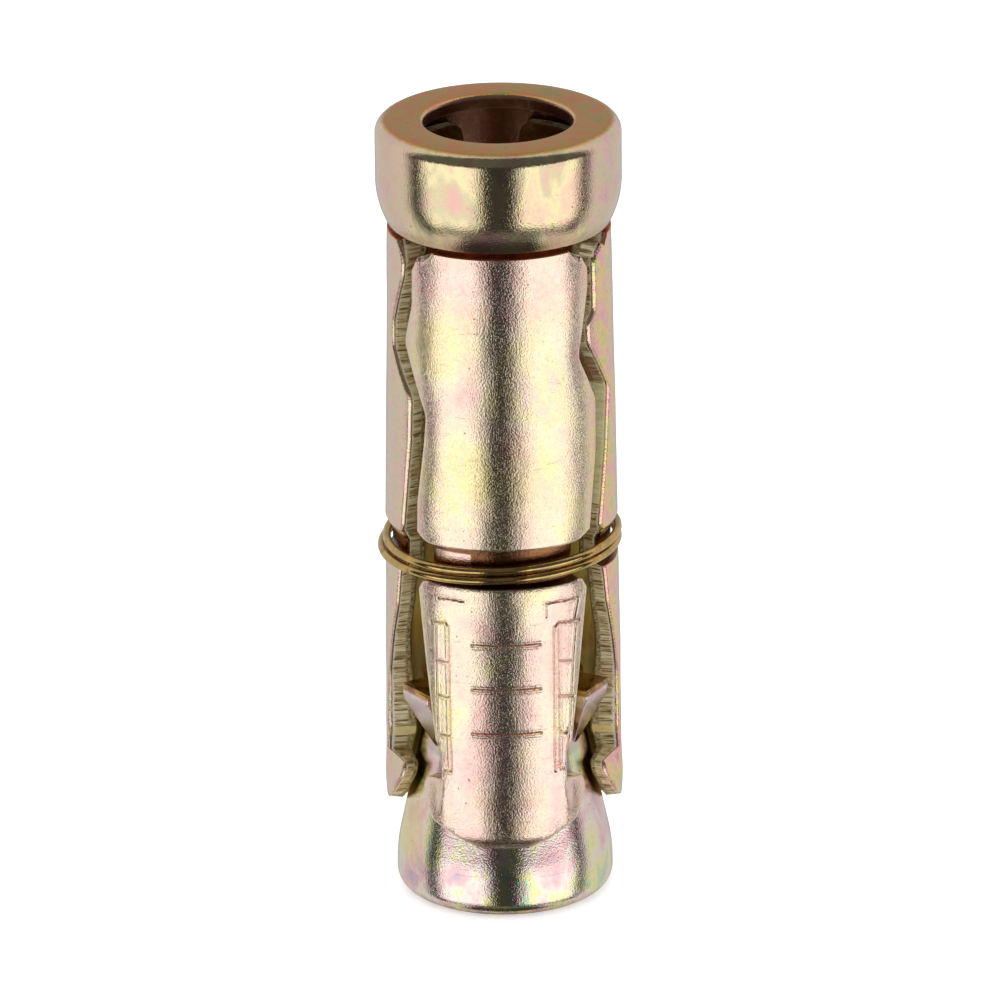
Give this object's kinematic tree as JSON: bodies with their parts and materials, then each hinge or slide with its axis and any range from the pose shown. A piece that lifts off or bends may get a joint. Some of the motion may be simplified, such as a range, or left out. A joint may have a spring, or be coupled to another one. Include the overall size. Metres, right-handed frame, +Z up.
{
  "type": "shield anchor",
  "caption": "Loose-bolt shield anchor: curled steel segments held by a ferrule and a wire clip, spread by a tapered wedge nut that the bolt draws up.",
  "frame": {"origin": "centre of the wedge nut's lower face, on the anchor's axis", "axes": "+Z up the axis towards the ferrule, -Y towards the front segment"},
  "size_m": [0.014, 0.014, 0.0466],
  "materials": {
    "ferrule_zinc": "bronze yellow passivated zinc, satin",
    "segment_zinc": "pale iridescent yellow passivated zinc, satin",
    "clip_zinc": "gold passivated zinc, bright",
    "nut_zinc": "pale iridescent passivated zinc, satin"
  },
  "bodies": {
    "cap": {"ferrule": "ferrule_zinc", "spring_clip": "clip_zinc"},
    "nut": {"wedge_nut": "nut_zinc"},
    "front_shell": {"segment_front": "segment_zinc"},
    "left_shell": {"segment_left": "segment_zinc"},
    "right_shell": {"segment_right": "segment_zinc"}
  },
  "joints": [
    {"name": "nut_draw", "type": "slide", "parent": "cap", "child": "nut", "axis": [0, 0, 1], "range_m": [0, 0.003]},
    {"name": "front_spread", "type": "hinge", "parent": "cap", "child": "front_shell", "pos_m": [0, -0.0052, 0.0434], "axis": [-1, 0, 0], "range_deg": [0, 1.2]},
    {"name": "left_spread", "type": "hinge", "parent": "cap", "child": "left_shell", "pos_m": [-0.00467, 0.00228, 0.0434], "axis": [0.4384, 0.8988, 0], "range_deg": [0, 1.2]},
    {"name": "right_spread", "type": "hinge", "parent": "cap", "child": "right_shell", "pos_m": [0.00467, 0.00228, 0.0434], "axis": [0.4384, -0.8988, 0], "range_deg": [0, 1.2]}
  ],
  "couplings": [
    {"joint": "front_spread", "follows": "nut_draw", "rad_per_m": 6.4},
    {"joint": "left_spread", "follows": "nut_draw", "rad_per_m": 6.4},
    {"joint": "right_spread", "follows": "nut_draw", "rad_per_m": 6.4}
  ]
}
